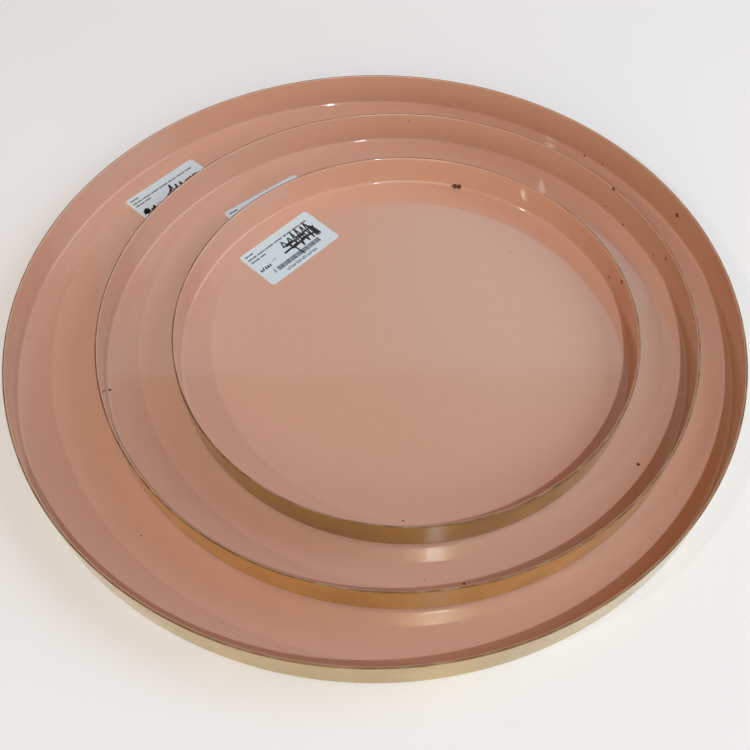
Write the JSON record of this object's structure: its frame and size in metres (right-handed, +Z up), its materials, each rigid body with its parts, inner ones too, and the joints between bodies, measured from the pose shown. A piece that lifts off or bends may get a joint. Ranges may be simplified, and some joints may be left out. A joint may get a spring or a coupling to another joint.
{
  "type": "nesting serving tray set",
  "caption": "Round, low-walled serving trays nested inside one another, lacquered inside and gold outside, with rolled bead rims and a paper price label on each floor.",
  "frame": {"origin": "centre of the largest tray's underside, on the surface the set lies on", "axes": "+Z up through the floors of the trays, +Y to the back of the set, +X to its right, with the labels at the back left"},
  "size_m": [0.38, 0.38, 0.0224],
  "materials": {
    "tray_lacquer": "glossy pink lacquer inside, satin gold lacquer outside, bare grey rolled bead",
    "label_paper": "thin self-adhesive label, satin coated"
  },
  "bodies": {
    "large": {"large_tray": "tray_lacquer", "large_label": "label_paper"},
    "medium": {"medium_tray": "tray_lacquer", "medium_label": "label_paper"},
    "small": {"small_tray": "tray_lacquer", "small_label": "label_paper"}
  },
  "joints": [
    {"name": "medium_lift", "type": "slide", "parent": "large", "child": "medium", "axis": [0, 0, 1], "range_m": [0, 0.08]},
    {"name": "small_lift", "type": "slide", "parent": "medium", "child": "small", "axis": [0, 0, 1], "range_m": [0, 0.08]}
  ]
}
